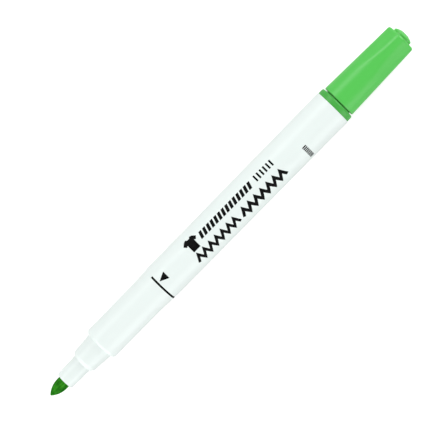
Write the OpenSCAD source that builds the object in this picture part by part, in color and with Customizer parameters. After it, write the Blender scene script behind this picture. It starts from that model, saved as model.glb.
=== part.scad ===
// Fibre-tip textile marker, lying on its side with its cap pushed onto the rear end.
// The pen's axis runs along X: the nib points to -X and the cap slides off towards +X.
// The profiles below give [radius, distance]. The distance is measured along the axis,
// from the tip of the nib, or from the cap's mouth for the two pieces of the cap.

/* [Nib] */
// Diameter of the fibre nib
nib_d = 3.6; // [3.2:0.1:3.6]
// Length of the nib that stands out of its holder
nib_out = 5.3; // [4.7:0.1:6]
// Length of the pointed part of the nib
nib_point = 4.4; // [3.2:0.1:4.6]
// Whole length of the nib, with the tail that sits in the ink reservoir
nib_length = 32; // [31:0.5:36]

/* [Nib holder] */
// Diameter of the holder behind its front edge
holder_front_d = 5.15; // [5:0.05:5.3]
// Diameter of the holder where it enters the nose
holder_root_d = 5.6; // [5.4:0.05:5.7]
// Length of the holder that shows in front of the nose
holder_out = 6.7; // [5:0.1:8]

/* [Barrel] */
// Diameter of the nose at its front, behind the chamfer
nose_front_d = 7.2; // [7:0.05:7.5]
// Diameter of the nose where it meets the shoulder
nose_root_d = 8.1; // [8:0.05:8.15]
// Length of the nose, where the cap sits when the pen is closed
nose_length = 6.75; // [6:0.05:8]
// Diameter of the straight grip
grip_d = 10; // [9.8:0.1:10.2]
// Length of the straight grip
grip_length = 15.1; // [12:0.1:20]
// Length over which the grip widens into the rear of the barrel
blend_length = 9.1; // [6:0.1:14]
// Diameter of the barrel just behind that widening
waist_d = 10.62; // [10.4:0.02:10.8]
// Diameter of the barrel at its rear end
rear_d = 11; // [10.9:0.1:11.6]
// Length of the barrel behind the widening
rear_length = 62.7; // [50:0.1:80]

/* [End plug] */
// Diameter of the plug's flange
flange_d = 10.66; // [10.4:0.02:10.8]
// Thickness of the flange
flange_length = 1.8; // [1.2:0.1:2.5]
// Diameter of the spigot that carries the cap when the pen is in use
spigot_d = 8.1; // [8.1:0.01:8.12]
// Length of that spigot
spigot_length = 7.7; // [6:0.1:7.8]

/* [Cap] */
// Gap between the flange and the mouth of the posted cap
cap_gap = 0.3; // [0.2:0.1:1]
// Diameter of the cap at its mouth
cap_mouth_d = 9.94; // [9.9:0.02:10.2]
// Diameter of the cap at its closed end
cap_end_d = 8.66; // [8.6:0.02:9]
// Length of the cap without its button
cap_length = 23.5; // [23.2:0.05:26]
// Bore at the mouth of the cap
cap_bore_d = 8.2; // [8.2:0.01:8.22]
// Depth of each of the four hollow flats at the cap's closed end
flat_depth = 0.54; // [0.3:0.02:0.7]
// Length of the flats
flat_length = 13; // [8:0.1:14]
// Turn of the flats about the axis, in degrees
flat_turn = -1; // [-45:1:45]
// Diameter of the button on the closed end
button_d = 5.6; // [5.2:0.1:5.7]
// Height of the button
button_height = 1.4; // [1:0.05:1.6]
// Radius of the button's domed face
button_dome_r = 5.2; // [5:0.1:8]
// Diameter of the small flat in the middle of that face
button_flat_d = 2.4; // [2:0.1:3]

/* [Hidden] */
$fn = 96;

fit_gap = 0.02;      // hairline between pieces that are pressed together
edge = 0.12;         // small edge break
arc_steps = 6;       // straight pieces in a rounded edge

// places along the axis, from the tip of the nib
nose_front = nib_out + holder_out;
nose_end = nose_front + nose_length;
shoulder_r = (grip_d - nose_root_d) / 2;
grip_start = nose_end + shoulder_r;
grip_end = grip_start + grip_length;
blend_end = grip_end + blend_length;
barrel_end = blend_end + rear_length;
flange_end = barrel_end + flange_length;
spigot_end = flange_end + spigot_length;
cap_start = flange_end + cap_gap;
pen_length = cap_start + cap_length + button_height;

// inside of the barrel
stem_d = 5.6;        // part of the holder that sits in the nose
stem_end = nose_end + 4;
bore_start = nose_end + 2.2;
bore_front_d = 8.1;
bore_rear_d = 8.8;
socket_d = 9;        // bore that takes the end plug
socket_start = barrel_end - 8;
rib_height = 1;
rib_width = 0.7;

// ink reservoir
reservoir_start = stem_end + 4.6;
reservoir_end = socket_start - 1.3;
reservoir_d = 7.2;
wrap_thickness = 0.1;
tail_d = 1.6;        // diameter at the end of the nib's tapered tail
tail_length = 4;

// inside of the cap
liner_start = 8.5;
liner_bore_d = 5.9;
liner_end = cap_length - 1.45;
button_end = cap_length + button_height;
hole_gap = 0.1;      // air gap around the button

function mix(a, b, t) = a + (b - a) * t;
function smooth(t) = t * t * (3 - 2 * t);

// quarter-round edge as points [radius, distance], convex, of size r
function round_out(from_r, from_s, r) =
    [for (i = [0:arc_steps]) let (a = 90 * i / arc_steps)
        [from_r + r * sin(a), from_s + r * (1 - cos(a))]];
function round_in(from_r, from_s, r) =
    [for (i = [0:arc_steps]) let (a = 90 * i / arc_steps)
        [from_r - r * (1 - cos(a)), from_s + r * sin(a)]];

// ogive of the nib: the tip is cut back a little and so is blunt
function ogive_r(s) = let (r = nib_d / 2, rho = (r * r + nib_point * nib_point) / (2 * r))
    sqrt(rho * rho - pow(nib_point - s, 2)) - (rho - r);

// turns a piece drawn along Z onto the pen's axis, starting at distance s
module on_axis(s = 0) {
    translate([s - pen_length / 2, 0, rear_d / 2])
        rotate([0, 90, 0])
            children();
}

module barrel() {
    outside = concat(
        [[stem_d / 2 + 0.1, nose_front],
         [nose_front_d / 2, nose_front + 0.9]],
        round_out(nose_root_d / 2, nose_end, shoulder_r),
        [for (i = [0:8]) let (t = i / 8)
            [mix(grip_d, waist_d, smooth(t)) / 2, mix(grip_end, blend_end, t)]],
        [[rear_d / 2, barrel_end - edge],
         [rear_d / 2 - edge, barrel_end]]);
    inside = [
        [socket_d / 2, barrel_end],
        [socket_d / 2, socket_start],
        [bore_rear_d / 2, socket_start - 0.2],
        [bore_front_d / 2, bore_start + 0.6],
        [bore_front_d / 2 - 0.6, bore_start],
        [stem_d / 2 + fit_gap, bore_start],
        [stem_d / 2 + fit_gap, nose_front]];
    color([0.95, 0.97, 0.96])
        on_axis() {
            // the seam of the turned shell lies at its side, clear of the surface that it rests on
            rotate([0, 0, 90])
                rotate_extrude() polygon(concat(outside, inside));
            for (k = [0:3])
                rotate([0, 0, 45 + 90 * k]) reservoir_stop();
        }
}

// rib inside the barrel that the front of the reservoir rests against
module reservoir_stop() {
    translate([bore_front_d / 2 - rib_height, -rib_width / 2, bore_start + 0.6])
        cube([rib_height + 0.3, rib_width, reservoir_start - bore_start - 0.6]);
}

module nib_holder() {
    outside = [
        [holder_front_d / 2 - 2 * edge, nib_out],
        [holder_front_d / 2, nib_out + edge],
        [mix(holder_front_d, holder_root_d, 0.6) / 2, nib_out + 2.6],
        [holder_root_d / 2 - 2 * fit_gap, nose_front],
        [stem_d / 2, nose_front],
        [stem_d / 2, stem_end - 0.3],
        [stem_d / 2 - 0.3, stem_end]];
    inside = [
        [nib_d / 2 + 0.4, stem_end],
        [nib_d / 2 + fit_gap, stem_end - 0.6],
        [nib_d / 2 + fit_gap, nib_out]];
    color([0.95, 0.98, 0.97])
        on_axis()
            rotate_extrude() polygon(concat(outside, inside));
}

module nib() {
    blunt = 0.16;
    point = [for (i = [1:10]) let (s = blunt + (nib_point - blunt) * pow(i / 10, 1.5))
        [ogive_r(s), s - blunt]];
    shank = [
        [nib_d / 2, nib_length - tail_length],
        [tail_d / 2, nib_length],
        [0, nib_length]];
    color([0.12, 0.42, 0.08])
        on_axis()
            rotate_extrude() polygon(concat([[0, 0], [0.2, 0.04]], point, shank));
}

module reservoir() {
    color([0.30, 0.62, 0.28])
        on_axis()
            rotate_extrude() polygon([
                [nib_d / 2 + fit_gap, reservoir_start],
                [reservoir_d / 2, reservoir_start],
                [reservoir_d / 2, reservoir_end],
                [0, reservoir_end],
                [0, nib_length + fit_gap],
                [tail_d / 2 + fit_gap, nib_length + fit_gap],
                [nib_d / 2 + fit_gap, nib_length - tail_length]]);
}

module reservoir_wrap() {
    wrap_r = reservoir_d / 2 + fit_gap;
    color([0.85, 0.90, 0.86])
        on_axis(reservoir_start)
            difference() {
                cylinder(h = reservoir_end - reservoir_start, r = wrap_r + wrap_thickness);
                translate([0, 0, -1])
                    cylinder(h = reservoir_end - reservoir_start + 2, r = wrap_r);
            }
}

module end_plug() {
    flange_round = 0.55;
    web_start = barrel_end + 0.6;
    web_end = flange_end + 0.2;
    skirt_end = socket_start + 0.3;
    skirt = [
        [0, web_start],
        [socket_d / 2 - 1, web_start],
        [socket_d / 2 - 1, skirt_end],
        [socket_d / 2 - 0.2, skirt_end],
        [socket_d / 2 - fit_gap, skirt_end + 0.3],
        [socket_d / 2 - fit_gap, barrel_end]];
    flange = concat(
        [[flange_d / 2 - edge, barrel_end],
         [flange_d / 2, barrel_end + edge]],
        round_in(flange_d / 2, flange_end - flange_round, flange_round));
    spigot = [
        [spigot_d / 2, flange_end],
        [spigot_d / 2, spigot_end - 0.4],
        [spigot_d / 2 - 0.3, spigot_end],
        [spigot_d / 2 - 0.85, spigot_end],
        [spigot_d / 2 - 0.85, web_end],
        [0, web_end]];
    color([0.36, 0.72, 0.34])
        on_axis()
            rotate_extrude() polygon(concat(skirt, flange, spigot));
}

// radius of the cap's outer cone at a distance from its mouth
function cap_r(c) = mix(cap_mouth_d, cap_end_d, c / cap_length) / 2;

module cap() {
    end_round = 0.6;
    outside = concat(
        [[cap_mouth_d / 2 - 2 * edge, 0],
         [cap_mouth_d / 2, 2 * edge]],
        round_in(cap_r(cap_length - end_round), cap_length - end_round, end_round));
    inside = [
        [button_d / 2 + hole_gap, cap_length],
        [button_d / 2 + hole_gap, liner_end],
        [3.1, liner_end],
        [3.46, liner_end - 2.2],
        [3.75, liner_start - 0.1],
        [cap_bore_d / 2, liner_start - 0.5],
        [cap_bore_d / 2, 2 * edge],
        [cap_bore_d / 2 + edge, 0]];
    color([0.41, 0.81, 0.41])
        on_axis(cap_start)
            difference() {
                rotate_extrude() polygon(concat(outside, inside));
                for (k = [0:3])
                    rotate([0, 0, 45 + 90 * k + flat_turn]) flat_cutter();
            }
}

// large cylinder lying across the cap: its side hollows out one flat, deepest at the closed end
// and running out to nothing towards the mouth
module flat_cutter() {
    hollow_r = flat_length * flat_length / (2 * flat_depth);
    taper = atan((cap_mouth_d - cap_end_d) / (2 * cap_length));
    translate([cap_r(cap_length) - flat_depth, 0, cap_length])
        rotate([0, -taper, 0])
            translate([hollow_r, 0, 0])
                rotate([90, 0, 0])
                    cylinder(h = cap_mouth_d, r = hollow_r, center = true, $fn = 720);
}

// height of the button's dome at radius r, from the small flat on its top
function dome_height(r) = sqrt(pow(button_dome_r, 2) - r * r)
    - sqrt(pow(button_dome_r, 2) - pow(button_flat_d / 2, 2));

module cap_liner() {
    liner_mouth_r = 3.5;
    liner_far_r = 3.36;
    button_round = 0.2;
    dome_edge_r = button_d / 2 - button_round;
    dome_edge = button_end + dome_height(dome_edge_r);
    color([0.36, 0.72, 0.36])
        on_axis(cap_start)
            rotate_extrude() polygon(concat(
                [[0, liner_end - 1.6],
                 [liner_bore_d / 2 - 0.5, liner_end - 1.6],
                 [liner_bore_d / 2, liner_end - 2.1],
                 [liner_bore_d / 2, liner_start],
                 [liner_mouth_r - edge, liner_start],
                 [liner_mouth_r, liner_start + edge],
                 [liner_far_r, liner_end - 2.3],
                 [3.0, liner_end],
                 [button_d / 2, liner_end]],
                round_in(button_d / 2, dome_edge - button_round, button_round),
                [for (i = [1:8]) let (r = mix(dome_edge_r, button_flat_d / 2, i / 8))
                    [r, button_end + dome_height(r)]],
                [[0, button_end]]));
}

barrel();
nib_holder();
nib();
reservoir();
reservoir_wrap();
end_plug();
cap();
cap_liner();
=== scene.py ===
"""A fabric marking pen on a pale floor: white stepped barrel, green nib, green cap posted on the rear."""

import math
import random

import bmesh
import bpy
from mathutils import Matrix, Vector


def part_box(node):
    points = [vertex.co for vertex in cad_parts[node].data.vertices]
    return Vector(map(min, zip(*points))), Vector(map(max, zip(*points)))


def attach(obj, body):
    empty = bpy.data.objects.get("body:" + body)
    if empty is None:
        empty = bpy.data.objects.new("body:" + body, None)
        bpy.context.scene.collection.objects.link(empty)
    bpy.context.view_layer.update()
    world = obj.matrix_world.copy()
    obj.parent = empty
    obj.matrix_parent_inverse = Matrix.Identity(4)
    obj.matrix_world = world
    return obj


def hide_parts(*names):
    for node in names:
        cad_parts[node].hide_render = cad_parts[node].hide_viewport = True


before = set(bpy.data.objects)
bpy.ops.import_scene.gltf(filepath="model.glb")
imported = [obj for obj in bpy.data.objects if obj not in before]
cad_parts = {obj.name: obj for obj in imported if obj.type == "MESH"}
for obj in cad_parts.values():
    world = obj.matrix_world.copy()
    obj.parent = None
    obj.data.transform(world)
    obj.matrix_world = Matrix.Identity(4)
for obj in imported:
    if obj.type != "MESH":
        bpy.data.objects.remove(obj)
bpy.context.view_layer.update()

# ---------------------------------------------------------------- frame and sizes
# Sizes are in millimetres along and around the pen's axis, as in the CAD model. MM turns them into metres.
MM = 0.001
NIB_TIP_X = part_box("nib")[0].x
AXIS_Z = (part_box("barrel")[0].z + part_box("barrel")[1].z) / 2


def along(x):
    """Distance from the nib's tip, in millimetres, of a place on the frame's X axis."""
    return (x - NIB_TIP_X) / MM


HOLDER_FRONT = along(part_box("nib_holder")[0].x)
HOLDER_END = along(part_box("nib_holder")[1].x)
NOSE_FRONT = along(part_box("barrel")[0].x)
BARREL_END = along(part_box("barrel")[1].x)
PLUG_FRONT = along(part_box("end_plug")[0].x)
SPIGOT_END = along(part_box("end_plug")[1].x)
CAP_MOUTH = along(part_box("cap")[0].x)
CAP_END = along(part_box("cap")[1].x)
LINER_MOUTH = along(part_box("cap_liner")[0].x)
BUTTON_END = along(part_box("cap_liner")[1].x)
REAR_R = (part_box("barrel")[1].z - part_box("barrel")[0].z) / 2 / MM
CAP_R = (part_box("cap")[1].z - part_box("cap")[0].z) / 2 / MM
NIB_R = (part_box("nib")[1].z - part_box("nib")[0].z) / 2 / MM

# Barrel
NOSE_CHAMFER = 0.9
NOSE_FRONT_R = 3.6
NOSE_ROOT_R = 4.05
NOSE_LENGTH = 6.75
GRIP_R = 5.0
GRIP_LENGTH = 15.1
BLEND_LENGTH = 9.1
WAIST_R = 5.31
STEM_R = 2.8
STEM_BORE_R = STEM_R + 0.01
SOCKET_R = 4.5
CHAMBER_R = SOCKET_R - 0.45
NOSE_END = NOSE_FRONT + NOSE_LENGTH
STEM_SEAT_END = NOSE_END + 2.2
SHOULDER_R = GRIP_R - NOSE_ROOT_R
GRIP_START = NOSE_END + SHOULDER_R
GRIP_END = GRIP_START + GRIP_LENGTH
BLEND_END = GRIP_END + BLEND_LENGTH

# Nib and its holder
NIB_POINT = 4.4
NIB_BLUNT = 0.16
NIB_BORE_R = NIB_R + 0.03
HOLDER_FRONT_R = 2.575
HOLDER_MIDDLE = HOLDER_FRONT + 2.6
HOLDER_MIDDLE_R = 2.71
HOLDER_ROOT_R = 2.76

# End plug
PLUG_R = SOCKET_R - 0.02
PLUG_WALL = 1
SPIGOT_WALL = 0.85
FLANGE_R = 5.33
FLANGE_LENGTH = 1.8
FLANGE_END = BARREL_END + FLANGE_LENGTH
SPIGOT_R = 4.05

# Cap and its liner, whose tail is the button
CAP_END_R = 4.33
CAP_LENGTH = CAP_END - CAP_MOUTH
CAP_BORE_R = 4.1
CAP_MOUTH_ROUND = 0.26
CAP_END_ROUND = 0.6
FLAT_DEPTH = 0.54
FLAT_LENGTH = 13
FLAT_TURN = -1
BUTTON_R = 2.8
BUTTON_SEAT = CAP_END - 1.45
DOME_R = 5.2
DOME_FLAT_R = 1.2
LINER_BORE_R = 2.95
LINER_MOUTH_R = 3.5
GATE_R = 0.62


# ---------------------------------------------------------------- geometry helpers
# A radius below this is a point on the axis.
ON_AXIS = 1e-6


def filleted(corners, steps=5):
    """An outline of (distance, radius) points from (distance, radius, fillet) corners.

    Each fillet becomes an arc. Each long straight stretch gets a point just inside both of its ends, so that
    smooth shading stays on the arcs."""
    outline = []
    count = len(corners)
    for i, (s, r, fillet) in enumerate(corners):
        here = Vector((s, r))
        if fillet <= 0 or i in (0, count - 1):
            outline.append(here)
            continue
        before = Vector(corners[i - 1][:2]) - here
        after = Vector(corners[i + 1][:2]) - here
        half = before.angle(after) / 2
        reach = min(fillet / math.tan(half), before.length * 0.48, after.length * 0.48)
        radius = reach * math.tan(half)
        before.normalize()
        after.normalize()
        centre = here + (before + after).normalized() * (radius / math.sin(half))
        start = here + before * reach - centre
        turn = start.angle_signed(here + after * reach - centre)
        for k in range(steps + 1):
            swing = Matrix.Rotation(-turn * k / steps, 2)
            outline.append(centre + swing @ start)
    return supported(outline)


def supported(outline, margin=0.06):
    """The same outline with a point close to each end of every long straight stretch."""
    result = [outline[0]]
    for a, b in zip(outline, outline[1:]):
        step = b - a
        if step.length > 4 * margin:
            result += [a + step.normalized() * margin, b - step.normalized() * margin]
        result.append(b)
    return [tuple(p) for p in result]


def on_pen(s, across, up):
    """A place in the frame from the distance along the axis and two distances off it, in millimetres."""
    return Vector((NIB_TIP_X + s * MM, across * MM, AXIS_Z + up * MM))


def around(s, r, angle):
    """A place at radius r, turned by angle from straight up towards -Y."""
    return on_pen(s, -r * math.sin(angle), r * math.cos(angle))


def new_piece(name, bm, body, material, replaces=()):
    """Makes an object of bm, shaded smooth, that rides on a body and stands for CAD nodes."""
    bmesh.ops.remove_doubles(bm, verts=bm.verts, dist=1e-7)
    bmesh.ops.recalc_face_normals(bm, faces=bm.faces)
    mesh = bpy.data.meshes.new(name)
    bm.to_mesh(mesh)
    bm.free()
    mesh.polygons.foreach_set("use_smooth", [True] * len(mesh.polygons))
    piece = bpy.data.objects.new(name, mesh)
    bpy.context.scene.collection.objects.link(piece)
    mesh.materials.append(material)
    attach(piece, body)
    if replaces:
        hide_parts(*replaces)
    return piece


def ring_grid(bm, rings, close_ends=False):
    """Joins rings of vertices, each ring a list of places or one single place on the axis."""
    rows = [[bm.verts.new(p) for p in ring] for ring in rings]
    pairs = list(zip(rows, rows[1:]))
    if close_ends:
        pairs.append((rows[-1], rows[0]))
    for a, b in pairs:
        count = max(len(a), len(b))
        for k in range(count):
            n = (k + 1) % count
            corners = [a[k % len(a)], a[n % len(a)], b[n % len(b)], b[k % len(b)]]
            face = list(dict.fromkeys(corners))
            if len(face) > 2:
                bm.faces.new(face)


def lathe(outline, segments=160, hollow=False):
    """A turned solid.

    An outline that starts and ends on the axis is closed there, and a hollow one is a closed loop."""
    bm = bmesh.new()
    rings = []
    for s, r in outline:
        if r < ON_AXIS:
            rings.append([on_pen(s, 0, 0)])
        else:
            rings.append([around(s, r, 2 * math.pi * k / segments) for k in range(segments)])
    ring_grid(bm, rings, close_ends=hollow)
    return bm


def mix(a, b, t):
    return a + (b - a) * t


def smooth(t):
    return t * t * (3 - 2 * t)


def barrel_radius(s):
    """Outer radius of the barrel behind the shoulder."""
    if s < GRIP_END:
        return GRIP_R
    if s < BLEND_END:
        return mix(GRIP_R, WAIST_R, smooth((s - GRIP_END) / BLEND_LENGTH))
    return mix(WAIST_R, REAR_R, (s - BLEND_END) / (BARREL_END - BLEND_END))


# ---------------------------------------------------------------- material helpers
def new_material(name):
    material = bpy.data.materials.new(name)
    material.use_nodes = True
    nodes = material.node_tree.nodes
    return material, nodes, material.node_tree.links, nodes["Principled BSDF"]


def noise(nodes, links, scale, stretch=(1, 1, 1), detail=4, roughness=0.5):
    """A noise pattern in the object's own space, stretched along its axes."""
    place = nodes.new("ShaderNodeTexCoord")
    mapping = nodes.new("ShaderNodeMapping")
    mapping.inputs["Scale"].default_value = stretch
    links.new(place.outputs["Object"], mapping.inputs["Vector"])
    texture = nodes.new("ShaderNodeTexNoise")
    texture.inputs["Scale"].default_value = scale
    texture.inputs["Detail"].default_value = detail
    texture.inputs["Roughness"].default_value = roughness
    links.new(mapping.outputs["Vector"], texture.inputs["Vector"])
    return texture.outputs["Fac"]


def remap(nodes, links, source, low, high, start=0.0, end=1.0):
    """Takes source from low..high to start..end, held at both ends."""
    node = nodes.new("ShaderNodeMapRange")
    node.inputs["From Min"].default_value = low
    node.inputs["From Max"].default_value = high
    node.inputs["To Min"].default_value = start
    node.inputs["To Max"].default_value = end
    links.new(source, node.inputs["Value"])
    return node.outputs["Result"]


def blend_colours(nodes, links, fac, a, b):
    """Mixes two colours, each a tuple or a socket."""
    node = nodes.new("ShaderNodeMix")
    node.data_type = "RGBA"
    links.new(fac, node.inputs["Factor"])
    for socket, value in ((node.inputs[6], a), (node.inputs[7], b)):
        if isinstance(value, tuple):
            socket.default_value = (*value, 1)
        else:
            links.new(value, socket)
    return node.outputs[2]


def bump(nodes, links, heights, shader):
    """Stacks (height socket, depth in millimetres) pairs as bump."""
    normal = None
    for height, depth in heights:
        node = nodes.new("ShaderNodeBump")
        node.inputs["Distance"].default_value = depth * MM
        links.new(height, node.inputs["Height"])
        if normal is not None:
            links.new(normal, node.inputs["Normal"])
        normal = node.outputs["Normal"]
    links.new(normal, shader.inputs["Normal"])


def moulded_plastic(name, colour, shade, roughness, scuffs=0.12, shine=0.5):
    """Injection-moulded plastic: faint flow marks along the part, fine texture and light scuffs.

    The scuffs are rougher than the rest by the amount that scuffs says."""
    material, nodes, links, shader = new_material(name)
    flow = noise(nodes, links, scale=90, stretch=(0.25, 1, 1), detail=3)
    cloud = noise(nodes, links, scale=260, detail=5)
    tint = blend_colours(nodes, links, remap(nodes, links, flow, 0.3, 0.7), shade, colour)
    links.new(tint, shader.inputs["Base Color"])
    scuff = noise(nodes, links, scale=900, stretch=(0.15, 1, 1), detail=6, roughness=0.7)
    marks = remap(nodes, links, scuff, 0.58, 0.72, roughness, roughness + scuffs)
    links.new(marks, shader.inputs["Roughness"])
    bump(nodes, links, [(cloud, 0.006), (scuff, 0.002)], shader)
    shader.inputs["IOR"].default_value = 1.49
    shader.inputs["Specular IOR Level"].default_value = shine
    return material


def fibre_material(name, dark, light, scale=2600):
    """Bonded fibre soaked with ink: streaks along the pen's axis, uneven ink and a dull, fuzzy surface."""
    material, nodes, links, shader = new_material(name)
    strands = noise(nodes, links, scale, stretch=(0.07, 1, 1), detail=5, roughness=0.6)
    pools = noise(nodes, links, scale=700, detail=3)
    base = blend_colours(nodes, links, remap(nodes, links, strands, 0.36, 0.66), dark, light)
    deep = tuple(c * 0.6 for c in dark)
    tint = blend_colours(nodes, links, remap(nodes, links, pools, 0.35, 0.75, 0, 0.7), base, deep)
    links.new(tint, shader.inputs["Base Color"])
    links.new(remap(nodes, links, strands, 0.3, 0.7, 0.85, 0.55), shader.inputs["Roughness"])
    bump(nodes, links, [(strands, 0.05)], shader)
    shader.inputs["Specular IOR Level"].default_value = 0.07
    return material


def ink_material(name, colour):
    """Screen-printed ink: nearly black, a little thin and worn in places."""
    material, nodes, links, shader = new_material(name)
    patches = noise(nodes, links, scale=1500, detail=5)
    worn = tuple(c + 0.006 for c in colour)
    tint = blend_colours(nodes, links, remap(nodes, links, patches, 0.4, 0.75), colour, worn)
    links.new(tint, shader.inputs["Base Color"])
    links.new(remap(nodes, links, patches, 0.3, 0.7, 0.5, 0.65), shader.inputs["Roughness"])
    shader.inputs["Specular IOR Level"].default_value = 0.06
    return material


BARREL_WHITE = moulded_plastic(
    "barrel_plastic", colour=(0.720, 0.786, 0.764), shade=(0.705, 0.770, 0.748), roughness=0.28, scuffs=0.04)
HOLDER_WHITE = moulded_plastic(
    "holder_plastic", colour=(0.72, 0.786, 0.764), shade=(0.70, 0.766, 0.744), roughness=0.17, scuffs=0.04)
CAP_GREEN = moulded_plastic(
    "cap_plastic", colour=(0.081, 0.500, 0.077), shade=(0.075, 0.485, 0.071), roughness=0.33, scuffs=0.08,
    shine=0.42)
# The plug's green is the cap's green made darker: painted shade for the flange, which lies in shadow between
# the barrel and the cap.
PLUG_GREEN_PAINTED_SHADE = moulded_plastic(
    "plug_plastic_painted_shade", colour=(0.052, 0.360, 0.048), shade=(0.048, 0.345, 0.045), roughness=0.36, shine=0.4)
LINER_GREEN = moulded_plastic(
    "liner_plastic", colour=(0.085, 0.500, 0.078), shade=(0.079, 0.485, 0.072), roughness=0.34, shine=0.45)
WRAP_FILM = moulded_plastic(
    "wrap_film", colour=(0.70, 0.80, 0.72), shade=(0.62, 0.74, 0.65), roughness=0.2)
NIB_FIBRE = fibre_material("nib_fibre", dark=(0.003, 0.105, 0.001), light=(0.040, 0.300, 0.012))
RESERVOIR_FIBRE = fibre_material(
    "reservoir_fibre", dark=(0.02, 0.22, 0.01), light=(0.06, 0.36, 0.03), scale=1500)
PRINT_INK = ink_material("print_ink", (0.001, 0.001, 0.0012))


# ---------------------------------------------------------------- camera
AIM_FROM_TIP = 64.6
AIM_OFF_AXIS = 0.47
FOOT_FROM_TIP = 90.3
CAMERA_HEIGHT = 640
PEN_ANGLE = math.radians(45.6)
VIEW_WIDTH = 116.1
SENSOR_WIDTH = 36


def make_camera():
    """Looks down on the pen, which runs up to the right in the picture."""
    data = bpy.data.cameras.new("camera")
    camera = bpy.data.objects.new("camera", data)
    bpy.context.scene.collection.objects.link(camera)
    aim = on_pen(AIM_FROM_TIP, AIM_OFF_AXIS, 0)
    camera.location = on_pen(FOOT_FROM_TIP, AIM_OFF_AXIS, CAMERA_HEIGHT)
    back = (camera.location - aim).normalized()
    up = Vector((math.sin(PEN_ANGLE), math.cos(PEN_ANGLE), 0))
    right = up.cross(back).normalized()
    up = back.cross(right)
    camera.rotation_mode = "QUATERNION"
    camera.rotation_quaternion = Matrix((right, up, back)).transposed().to_quaternion()
    data.sensor_width = SENSOR_WIDTH
    data.lens = SENSOR_WIDTH * (camera.location - aim).length / MM / VIEW_WIDTH
    data.clip_start = 0.01
    data.clip_end = 10
    bpy.context.scene.camera = camera


make_camera()


# ---------------------------------------------------------------- pieces
def make_barrel():
    """Tube with the stepped nose, the rounded shoulder, the straight grip and the wider rear."""
    front = [
        (NOSE_FRONT, STEM_R, 0),
        (NOSE_FRONT, STEM_R + 0.12, 0.08),
        (NOSE_FRONT + NOSE_CHAMFER, NOSE_FRONT_R, 0.35),
        (NOSE_END, NOSE_ROOT_R, 0.12),
        (NOSE_END, NOSE_ROOT_R + 0.1, 0),
    ]
    shoulder = [
        (NOSE_END + SHOULDER_R * (1 - math.cos(a)), NOSE_ROOT_R + SHOULDER_R * math.sin(a))
        for a in (math.radians(9 * k) for k in range(2, 11))
    ]
    blend = [(s, barrel_radius(s)) for s in (mix(GRIP_END, BLEND_END, k / 16) for k in range(17))]
    rear = [
        (BLEND_END, WAIST_R, 0),
        (BARREL_END, REAR_R, 0.14),
        (BARREL_END, SOCKET_R, 0.1),
        (PLUG_FRONT - 0.3, SOCKET_R, 0.1),
        (PLUG_FRONT - 0.5, SOCKET_R - 0.1, 0.1),
        (STEM_SEAT_END + 0.6, CHAMBER_R, 0.3),
        (STEM_SEAT_END, STEM_R + 0.7, 0.2),
        (STEM_SEAT_END, STEM_BORE_R, 0),
        (NOSE_FRONT, STEM_BORE_R, 0),
    ]
    outline = filleted(front)[:-1] + shoulder + supported([Vector(shoulder[-1]), Vector(blend[0])])[1:]
    outline += blend[1:] + filleted(rear)[1:-1]
    bm = lathe(outline, hollow=True)
    new_piece("barrel_shell", bm, "pen", BARREL_WHITE, ["barrel"])


def make_holder():
    """Sleeve that holds the nib, slightly wider towards the nose."""
    corners = [
        (HOLDER_FRONT, NIB_BORE_R, 0),
        (HOLDER_FRONT, HOLDER_FRONT_R, 0.22),
        (HOLDER_MIDDLE, HOLDER_MIDDLE_R, 3),
        (NOSE_FRONT, HOLDER_ROOT_R, 0.04),
        (NOSE_FRONT, STEM_R, 0.04),
        (HOLDER_END, STEM_R, 0.3),
        (HOLDER_END, NIB_R + 0.4, 0.1),
        (HOLDER_END - 0.6, NIB_BORE_R, 0.1),
        (HOLDER_FRONT, NIB_BORE_R, 0),
    ]
    bm = lathe(filleted(corners)[:-1], hollow=True)
    new_piece("nib_sleeve", bm, "pen", HOLDER_WHITE, ["nib_holder"])


def make_nib():
    """Blunt ogive of bonded fibre, with fine ridges of strands along it."""
    rho = (NIB_R ** 2 + NIB_POINT ** 2) / (2 * NIB_R)

    def ogive(s):
        return math.sqrt(rho ** 2 - (NIB_POINT - s) ** 2) - (rho - NIB_R)

    nib_end = along(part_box("nib")[1].x)
    steps = 28
    first = NIB_BLUNT + 0.03
    point = [first + (NIB_POINT - first) * (k / steps) ** 1.4 for k in range(steps + 1)]
    outline = [(0, 0), (0.015, 0.1)]
    outline += [(s - NIB_BLUNT, ogive(s)) for s in point]
    outline += [(NIB_POINT + 0.3 * k, NIB_R) for k in range(1, 5)]
    outline += [(nib_end - 4, NIB_R), (nib_end, 0.8), (nib_end, 0)]
    segments = 192
    strands = random.Random(7)
    ridges = [strands.uniform(-0.012, 0.006) for _ in range(segments)]
    bm = bmesh.new()
    rings = []
    for s, r in outline:
        if r < ON_AXIS:
            rings.append([on_pen(s, 0, 0)])
            continue
        shown = min(1, r / NIB_R) if s < HOLDER_FRONT else 0
        rings.append([around(s, r + ridges[k] * shown, 2 * math.pi * k / segments) for k in range(segments)])
    ring_grid(bm, rings)
    new_piece("nib_tip", bm, "pen", NIB_FIBRE, ["nib"])


def make_plug():
    """End plug: skirt in the barrel, flange that shows, and hollow spigot for the cap."""
    web_front, web_back = BARREL_END + 0.6, FLANGE_END + 0.2
    corners = [
        (web_front, 0, 0),
        (web_front, SOCKET_R - PLUG_WALL, 0.3),
        (PLUG_FRONT, SOCKET_R - PLUG_WALL, 0.1),
        (PLUG_FRONT, PLUG_R, 0.25),
        (BARREL_END, PLUG_R, 0),
        (BARREL_END, FLANGE_R, 0.14),
        (FLANGE_END, FLANGE_R, 0.55),
        (FLANGE_END, SPIGOT_R, 0.08),
        (SPIGOT_END, SPIGOT_R, 0.35),
        (SPIGOT_END, SPIGOT_R - SPIGOT_WALL, 0.12),
        (web_back, SPIGOT_R - SPIGOT_WALL, 0.3),
        (web_back, 0, 0),
    ]
    bm = lathe(filleted(corners))
    new_piece("rear_plug", bm, "pen", PLUG_GREEN_PAINTED_SHADE, ["end_plug"])


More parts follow.
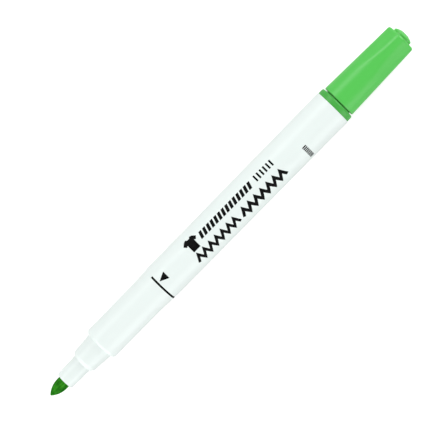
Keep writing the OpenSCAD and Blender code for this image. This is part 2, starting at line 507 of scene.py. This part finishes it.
def cap_cone(c):
    """Radius of the cap's outer cone at a distance from its mouth."""
    return mix(CAP_R, CAP_END_R, c / CAP_LENGTH)


def cap_radius(c, angle):
    """Radius of the cap's outside, with the four hollow flats blended softly into the cone."""
    cone = cap_cone(c)
    depth = FLAT_DEPTH * (1 - ((CAP_LENGTH - c) / FLAT_LENGTH) ** 2)
    quarter = math.pi / 2
    off_flat = (angle - math.radians(FLAT_TURN)) % quarter - quarter / 2
    flat = (cone - depth) / math.cos(off_flat)
    soft = 0.12 + 0.7 * max(0, depth)
    h = min(1, max(0, 0.5 + 0.5 * (flat - cone) / soft))
    return mix(flat, cone, h) - soft * h * (1 - h)


def make_cap():
    """Cap shell: tapered, with four flats, a rounded closed end with a hole for the button, and a bore."""
    segments = 256
    angles = [2 * math.pi * k / segments for k in range(segments)]

    def ring(c, inset=0.0):
        return [around(CAP_MOUTH + c, cap_radius(min(c, CAP_LENGTH), a) - inset, a) for a in angles]

    def plain_ring(s, r):
        return [around(s, r, a) for a in angles]

    def rounded(edge, towards, radius, a):
        """A ring on the round edge of the cap's mouth or end, at the angle a into the round."""
        return ring(edge + towards * radius * (1 - math.sin(a)), radius * (1 - math.cos(a)))

    rings = [rounded(0, 1, CAP_MOUTH_ROUND, math.radians(15 * k)) for k in range(6, -1, -1)]
    steps = 90
    start, end = CAP_MOUTH_ROUND + 0.05, CAP_LENGTH - CAP_END_ROUND - 0.05
    rings += [ring(mix(start, end, k / steps)) for k in range(steps + 1)]
    rings += [rounded(CAP_LENGTH, -1, CAP_END_ROUND, math.radians(11.25 * k)) for k in range(9)]
    hole_r = BUTTON_R + 0.1
    inside = filleted([
        (CAP_END, hole_r + 0.25, 0),
        (CAP_END, hole_r, 0.1),
        (BUTTON_SEAT, hole_r, 0.05),
        (BUTTON_SEAT, 3.1, 0.05),
        (BUTTON_SEAT - 2.2, 3.46, 0.5),
        (LINER_MOUTH - 0.1, 3.75, 0.15),
        (LINER_MOUTH - 0.5, CAP_BORE_R, 0.15),
        (CAP_MOUTH, CAP_BORE_R, 0.2),
        (CAP_MOUTH, CAP_R - CAP_MOUTH_ROUND - 0.05, 0),
    ])
    rings += [plain_ring(s, r) for s, r in inside]
    bm = bmesh.new()
    ring_grid(bm, rings, close_ends=True)
    new_piece("cap_shell", bm, "posted_cap", CAP_GREEN, ["cap"])


def make_cap_liner():
    """Inner cup that seals round the nib's holder. Its tail is the button on the cap's end."""
    def dome(r):
        return BUTTON_END + math.sqrt(DOME_R ** 2 - r ** 2) - math.sqrt(DOME_R ** 2 - DOME_FLAT_R ** 2)

    crown_r = BUTTON_R - 0.4
    body = [
        (BUTTON_SEAT - 1.6, 0, 0),
        (BUTTON_SEAT - 1.6, LINER_BORE_R, 0.5),
        (LINER_MOUTH, LINER_BORE_R, 0.12),
        (LINER_MOUTH, LINER_MOUTH_R, 0.12),
        (BUTTON_SEAT - 2.3, 3.36, 0.5),
        (BUTTON_SEAT, 3.0, 0.1),
        (BUTTON_SEAT, BUTTON_R, 0.05),
        (dome(BUTTON_R), BUTTON_R, 0.3),
        (dome(crown_r), crown_r, 0),
    ]
    crown = [(dome(r), r) for r in (mix(crown_r, DOME_FLAT_R, k / 8) for k in range(1, 9))]
    gate = filleted([
        (BUTTON_END, DOME_FLAT_R, 0),
        (BUTTON_END, GATE_R, 0.05),
        (BUTTON_END - 0.1, GATE_R - 0.1, 0.05),
        (BUTTON_END - 0.1, 0, 0),
    ])
    bm = lathe(filleted(body) + crown + gate[1:], segments=128)
    new_piece("cap_button", bm, "posted_cap", LINER_GREEN, ["cap_liner"])


make_barrel()
make_holder()
make_nib()
make_plug()
make_cap()
make_cap_liner()


# ---------------------------------------------------------------- print on the barrel
INK_PROUD = 0.012
INK_SUNK = 0.02
WRAP_STEP = 0.18
UPPER_ROW = -1.35
LOWER_ROW = 2.85
ZIGZAG_HALF = 1.05


def ink_piece(name, outlines):
    """Wraps flat outlines onto the barrel as one thin film of ink.

    A point is (distance from the nib's tip, distance round from the top towards -Y), in millimetres."""
    flat = bmesh.new()
    for outline in outlines:
        flat.faces.new([flat.verts.new((s, t, 0)) for s, t in outline])
    across = [v.co.y for v in flat.verts]
    cut = min(across) + WRAP_STEP
    while cut < max(across):
        geometry = flat.verts[:] + flat.edges[:] + flat.faces[:]
        bmesh.ops.bisect_plane(flat, geom=geometry, plane_co=(0, cut, 0), plane_no=(0, 1, 0), dist=1e-5)
        cut += WRAP_STEP
    bmesh.ops.triangulate(flat, faces=flat.faces)
    flat.verts.index_update()
    bm = bmesh.new()
    top, bottom = (
        [bm.verts.new(wrapped(v.co.x, v.co.y, height)) for v in flat.verts]
        for height in (INK_PROUD, -INK_SUNK)
    )
    for face in flat.faces:
        keys = [v.index for v in face.verts]
        bm.faces.new([top[k] for k in keys])
        bm.faces.new([bottom[k] for k in reversed(keys)])
    for edge in flat.edges:
        if len(edge.link_faces) == 1:
            a, b = (v.index for v in edge.verts)
            bm.faces.new([top[a], top[b], bottom[b], bottom[a]])
    flat.free()
    piece = new_piece(name, bm, "pen", PRINT_INK)
    piece.data.polygons.foreach_set("use_smooth", [False] * len(piece.data.polygons))
    return piece


def wrapped(s, t, height):
    """A point of the print on the barrel's surface."""
    r = barrel_radius(s)
    return around(s, r + height, t / r)


def bar(s0, s1, t0, t1):
    return [(s0, t0), (s1, t0), (s1, t1), (s0, t1)]


def stroke(points, width):
    """Outlines of the straight strokes through a list of points, with mitred corners."""
    normals = []
    for (s0, t0), (s1, t1) in zip(points, points[1:]):
        length = math.hypot(s1 - s0, t1 - t0)
        normals.append(Vector((-(t1 - t0) / length, (s1 - s0) / length)))
    sides = []
    for i, point in enumerate(points):
        before, after = normals[max(i - 1, 0)], normals[min(i, len(normals) - 1)]
        mitre = (before + after).normalized()
        mitre *= width / 2 / max(0.35, mitre.dot(after))
        sides.append((Vector(point) + mitre, Vector(point) - mitre))
    return [[a0, a1, b1, b0] for (a0, b0), (a1, b1) in zip(sides, sides[1:])]


def zigzag(teeth, pitch, width):
    """A zigzag stitch that swings to both sides of its row."""
    points = [(pitch / 2 * k, -ZIGZAG_HALF if k % 2 else ZIGZAG_HALF) for k in range(2 * teeth + 1)]
    return stroke(points, width)


def along_row(outline, s, t):
    """An outline moved to a place in the print: s behind the grip, t round from the top towards -Y."""
    return [(GRIP_END + s + a, t + b) for a, b in outline]


def make_print():
    """Ring line, pointer towards the nib, shirt sign, rows of stitches and a block of small strokes."""
    ink_piece("print_ring", [along_row(bar(0, 0.56, -3.0, 7.6), 6.43, 0)])
    ink_piece("print_pointer", [along_row([(0, 0), (2.5, -1.2), (2.5, 1.2)], 7.4, -0.5)])
    shirt_half = [(0.72, -2.05), (1.35, -1.85), (2.3, -0.9), (1.62, -0.15), (1.2, -0.5), (1.2, 2.0)]
    shirt = [(0.36, -1.62)] + shirt_half + [(-s, t) for s, t in reversed(shirt_half)] + [(-0.36, -1.62)]
    ink_piece("print_shirt", [along_row(shirt, 20.4, UPPER_ROW)])
    slanted = [(0, 1.0), (0.92, 1.0), (1.52, -1.0), (0.6, -1.0)]
    upright = bar(0, 0.52, -0.95, 0.95)
    row = [along_row(slanted, 23.1 + 1.38 * k, UPPER_ROW) for k in range(14)]
    row += [along_row(upright, 44.0 + 1.15 * k, UPPER_ROW - 0.15) for k in range(6)]
    ink_piece("print_whip_stitch", row)
    front = zigzag(teeth=7, pitch=2.2, width=0.78)
    rear = zigzag(teeth=7, pitch=2.3, width=0.88)
    ink_piece("print_zigzag_front", [along_row(part, 18.4, LOWER_ROW) for part in front])
    ink_piece("print_zigzag_rear", [along_row(part, 35.1, LOWER_ROW) for part in rear])
    stroke_mark = bar(0, 1.3, -0.17, 0.17)
    ink_piece("print_marks", [along_row(stroke_mark, 58.4, 1.9 + 0.52 * k) for k in range(9)])


make_print()


# ---------------------------------------------------------------- what stays inside
def finish_cad_node(name, material):
    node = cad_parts[name]
    node.data.materials.clear()
    node.data.materials.append(material)


finish_cad_node("reservoir", RESERVOIR_FIBRE)
finish_cad_node("reservoir_wrap", WRAP_FILM)


# ---------------------------------------------------------------- floor and light
# Sizes here are in metres.
FLOOR_REACH = 3
FLOOR_GREY = 0.55
FLOOR_GLOW = 0.62
LIGHT_DISTANCE = 0.7


def make_floor():
    """Wide pale sheet that the pen lies on. Its faint glow whitens it and lights nothing else."""
    bm = bmesh.new()
    bmesh.ops.create_grid(bm, x_segments=1, y_segments=1, size=FLOOR_REACH)
    mesh = bpy.data.meshes.new("floor")
    bm.to_mesh(mesh)
    bm.free()
    floor = bpy.data.objects.new("floor", mesh)
    bpy.context.scene.collection.objects.link(floor)
    material, nodes, links, shader = new_material("floor_white")
    shader.inputs["Base Color"].default_value = (FLOOR_GREY, FLOOR_GREY, FLOOR_GREY, 1)
    shader.inputs["Roughness"].default_value = 0.9
    shader.inputs["Specular IOR Level"].default_value = 0.0
    shader.inputs["Emission Color"].default_value = (1, 1, 1, 1)
    shader.inputs["Emission Strength"].default_value = FLOOR_GLOW
    mesh.materials.append(material)
    only_floor = bpy.data.collections.new("lit_by_floor")
    only_floor.objects.link(floor)
    floor.light_linking.receiver_collection = only_floor


def make_light(name, towards, lean, width, length, power):
    """Soft box aimed at the pen, turned by towards, in degrees, from straight above the pen towards -Y.

    It leans by lean, in degrees, towards the nib, or towards the cap where lean is negative. Its length lies
    along the pen."""
    data = bpy.data.lights.new(name, "AREA")
    data.shape = "RECTANGLE"
    data.size, data.size_y = length, width
    data.energy = power
    light = bpy.data.objects.new(name, data)
    bpy.context.scene.collection.objects.link(light)
    angle, tip = math.radians(towards), math.radians(lean)
    back = Vector((-math.sin(tip), -math.cos(tip) * math.sin(angle), math.cos(tip) * math.cos(angle)))
    light.location = Vector((0, 0, AXIS_Z)) + back * LIGHT_DISTANCE
    side = (Vector((1, 0, 0)) - back * back.x).normalized()
    light.rotation_mode = "QUATERNION"
    light.rotation_quaternion = Matrix((side, back.cross(side), back)).transposed().to_quaternion()


def make_world(strength):
    """Even white studio surround."""
    world = bpy.data.worlds.new("studio")
    world.use_nodes = True
    background = world.node_tree.nodes["Background"]
    background.inputs["Color"].default_value = (1, 1, 1, 1)
    background.inputs["Strength"].default_value = strength
    bpy.context.scene.world = world


make_floor()
make_light("softbox_left", towards=-48, lean=34, width=0.3, length=1.4, power=2.7)
make_light("softbox_ridge", towards=-57, lean=-19, width=0.3, length=0.15, power=1.25)
make_light("softbox_right", towards=77, lean=32, width=0.75, length=1.4, power=6.95)
make_light("softbox_nib", towards=0, lean=66, width=0.4, length=0.4, power=0.85)
make_light("softbox_cap", towards=0, lean=-73, width=0.4, length=0.4, power=3.0)
make_world(0.5)
bpy.context.scene.view_settings.view_transform = "Standard"
